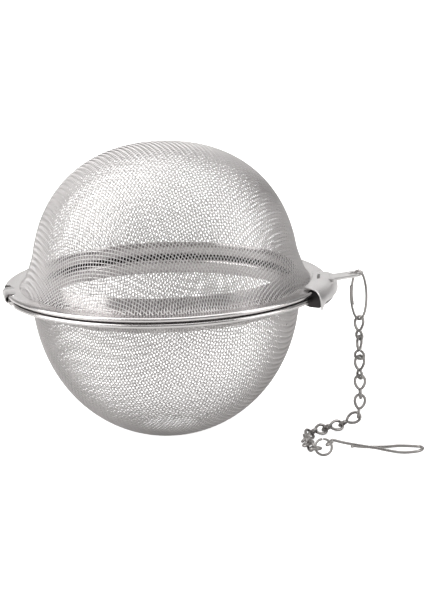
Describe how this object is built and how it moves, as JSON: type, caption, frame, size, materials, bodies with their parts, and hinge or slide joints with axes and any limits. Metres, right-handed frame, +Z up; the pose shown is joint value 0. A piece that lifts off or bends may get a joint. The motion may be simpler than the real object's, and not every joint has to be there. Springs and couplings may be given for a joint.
{
  "type": "tea infuser",
  "caption": "Ball-shaped tea infuser: two woven wire bowls in stamped rims, hinged on one side and latched on the other, with a chain and wire hook for hanging in a cup.",
  "frame": {"origin": "centre of the flat under the lower bowl, on the ball's axis, on the surface that it stands on", "axes": "+Z up along the ball's axis; the hinge is near -X and the latch hood with its eye tab near +X; +Y completes the frame"},
  "size_m": [0.099, 0.0782, 0.0704],
  "materials": {
    "stamped_steel": "pressed stainless sheet, satin to bright",
    "woven_steel": "fine plain-woven stainless wire cloth",
    "steel_wire": "drawn steel wire, satin"
  },
  "bodies": {
    "base": {"lower_rim": "stamped_steel", "lower_mesh_bowl": "woven_steel"},
    "lid": {"upper_rim": "stamped_steel", "upper_mesh_bowl": "woven_steel", "latch_hood": "stamped_steel"},
    "jump_ring": {"jump_ring": "steel_wire"},
    "link_01": {"chain_link_01": "steel_wire"},
    "link_02": {"chain_link_02": "steel_wire"},
    "link_03": {"chain_link_03": "steel_wire"},
    "link_04": {"chain_link_04": "steel_wire"},
    "link_05": {"chain_link_05": "steel_wire"},
    "link_06": {"chain_link_06": "steel_wire"},
    "link_07": {"chain_link_07": "steel_wire"},
    "link_08": {"chain_link_08": "steel_wire"},
    "link_09": {"chain_link_09": "steel_wire"},
    "link_10": {"chain_link_10": "steel_wire"},
    "link_11": {"chain_link_11": "steel_wire"},
    "end_ring": {"end_ring": "steel_wire"},
    "hook": {"hook": "steel_wire"}
  },
  "joints": [
    {"name": "lid_hinge", "type": "hinge", "parent": "base", "child": "lid", "pos_m": [-0.03783, -0.00565, 0.0355], "axis": [0.1478, -0.989, 0], "range_deg": [0, 145]},
    {"name": "jump_ring_swing", "type": "hinge", "parent": "lid", "child": "jump_ring", "pos_m": [0.04628, -0.00704, 0.039], "axis": [0.7431, 0.6691, 0], "range_deg": [-15, 15]},
    {"name": "link_01_swing", "type": "hinge", "parent": "jump_ring", "child": "link_01", "pos_m": [0.04628, -0.00704, 0.0276], "axis": [0, 1, 0], "range_deg": [-12, 12]},
    {"name": "link_02_swing", "type": "hinge", "parent": "link_01", "child": "link_02", "pos_m": [0.04628, -0.00704, 0.02268], "axis": [0, -1, 0], "range_deg": [-12, 12]},
    {"name": "link_03_swing", "type": "hinge", "parent": "link_02", "child": "link_03", "pos_m": [0.04628, -0.00704, 0.01776], "axis": [0, 1, 0], "range_deg": [-12, 12]},
    {"name": "link_04_swing", "type": "hinge", "parent": "link_03", "child": "link_04", "pos_m": [0.04629, -0.00704, 0.01285], "axis": [0, -1, 0], "range_deg": [-12, 12]},
    {"name": "link_05_swing", "type": "hinge", "parent": "link_04", "child": "link_05", "pos_m": [0.04637, -0.00704, 0.00793], "axis": [0, 1, 0], "range_deg": [-12, 12]},
    {"name": "link_06_swing", "type": "hinge", "parent": "link_05", "child": "link_06", "pos_m": [0.04582, -0.00698, 0.00305], "axis": [0, 0, -1], "range_deg": [-12, 12]},
    {"name": "link_07_swing", "type": "hinge", "parent": "link_06", "child": "link_07", "pos_m": [0.04142, -0.00831, 0.00134], "axis": [0, 0, 1], "range_deg": [-12, 12]},
    {"name": "link_08_swing", "type": "hinge", "parent": "link_07", "child": "link_08", "pos_m": [0.03726, -0.01093, 0.00135], "axis": [0, 0, -1], "range_deg": [-12, 12]},
    {"name": "link_09_swing", "type": "hinge", "parent": "link_08", "child": "link_09", "pos_m": [0.03359, -0.01419, 0.00135], "axis": [0, 0, 1], "range_deg": [-12, 12]},
    {"name": "link_10_swing", "type": "hinge", "parent": "link_09", "child": "link_10", "pos_m": [0.03199, -0.01885, 0.00134], "axis": [0, 0, -1], "range_deg": [-12, 12]},
    {"name": "link_11_swing", "type": "hinge", "parent": "link_10", "child": "link_11", "pos_m": [0.03235, -0.02373, 0.00147], "axis": [0, 0, 1], "range_deg": [-12, 12]},
    {"name": "end_ring_swing", "type": "hinge", "parent": "link_11", "child": "end_ring", "pos_m": [0.03387, -0.02839, 0.00178], "axis": [0, 0, -1], "range_deg": [-8, 12]},
    {"name": "hook_swing", "type": "hinge", "parent": "end_ring", "child": "hook", "pos_m": [0.0371, -0.0288, 0.0033], "axis": [0, 0, 1], "range_deg": [-12, 12]}
  ]
}
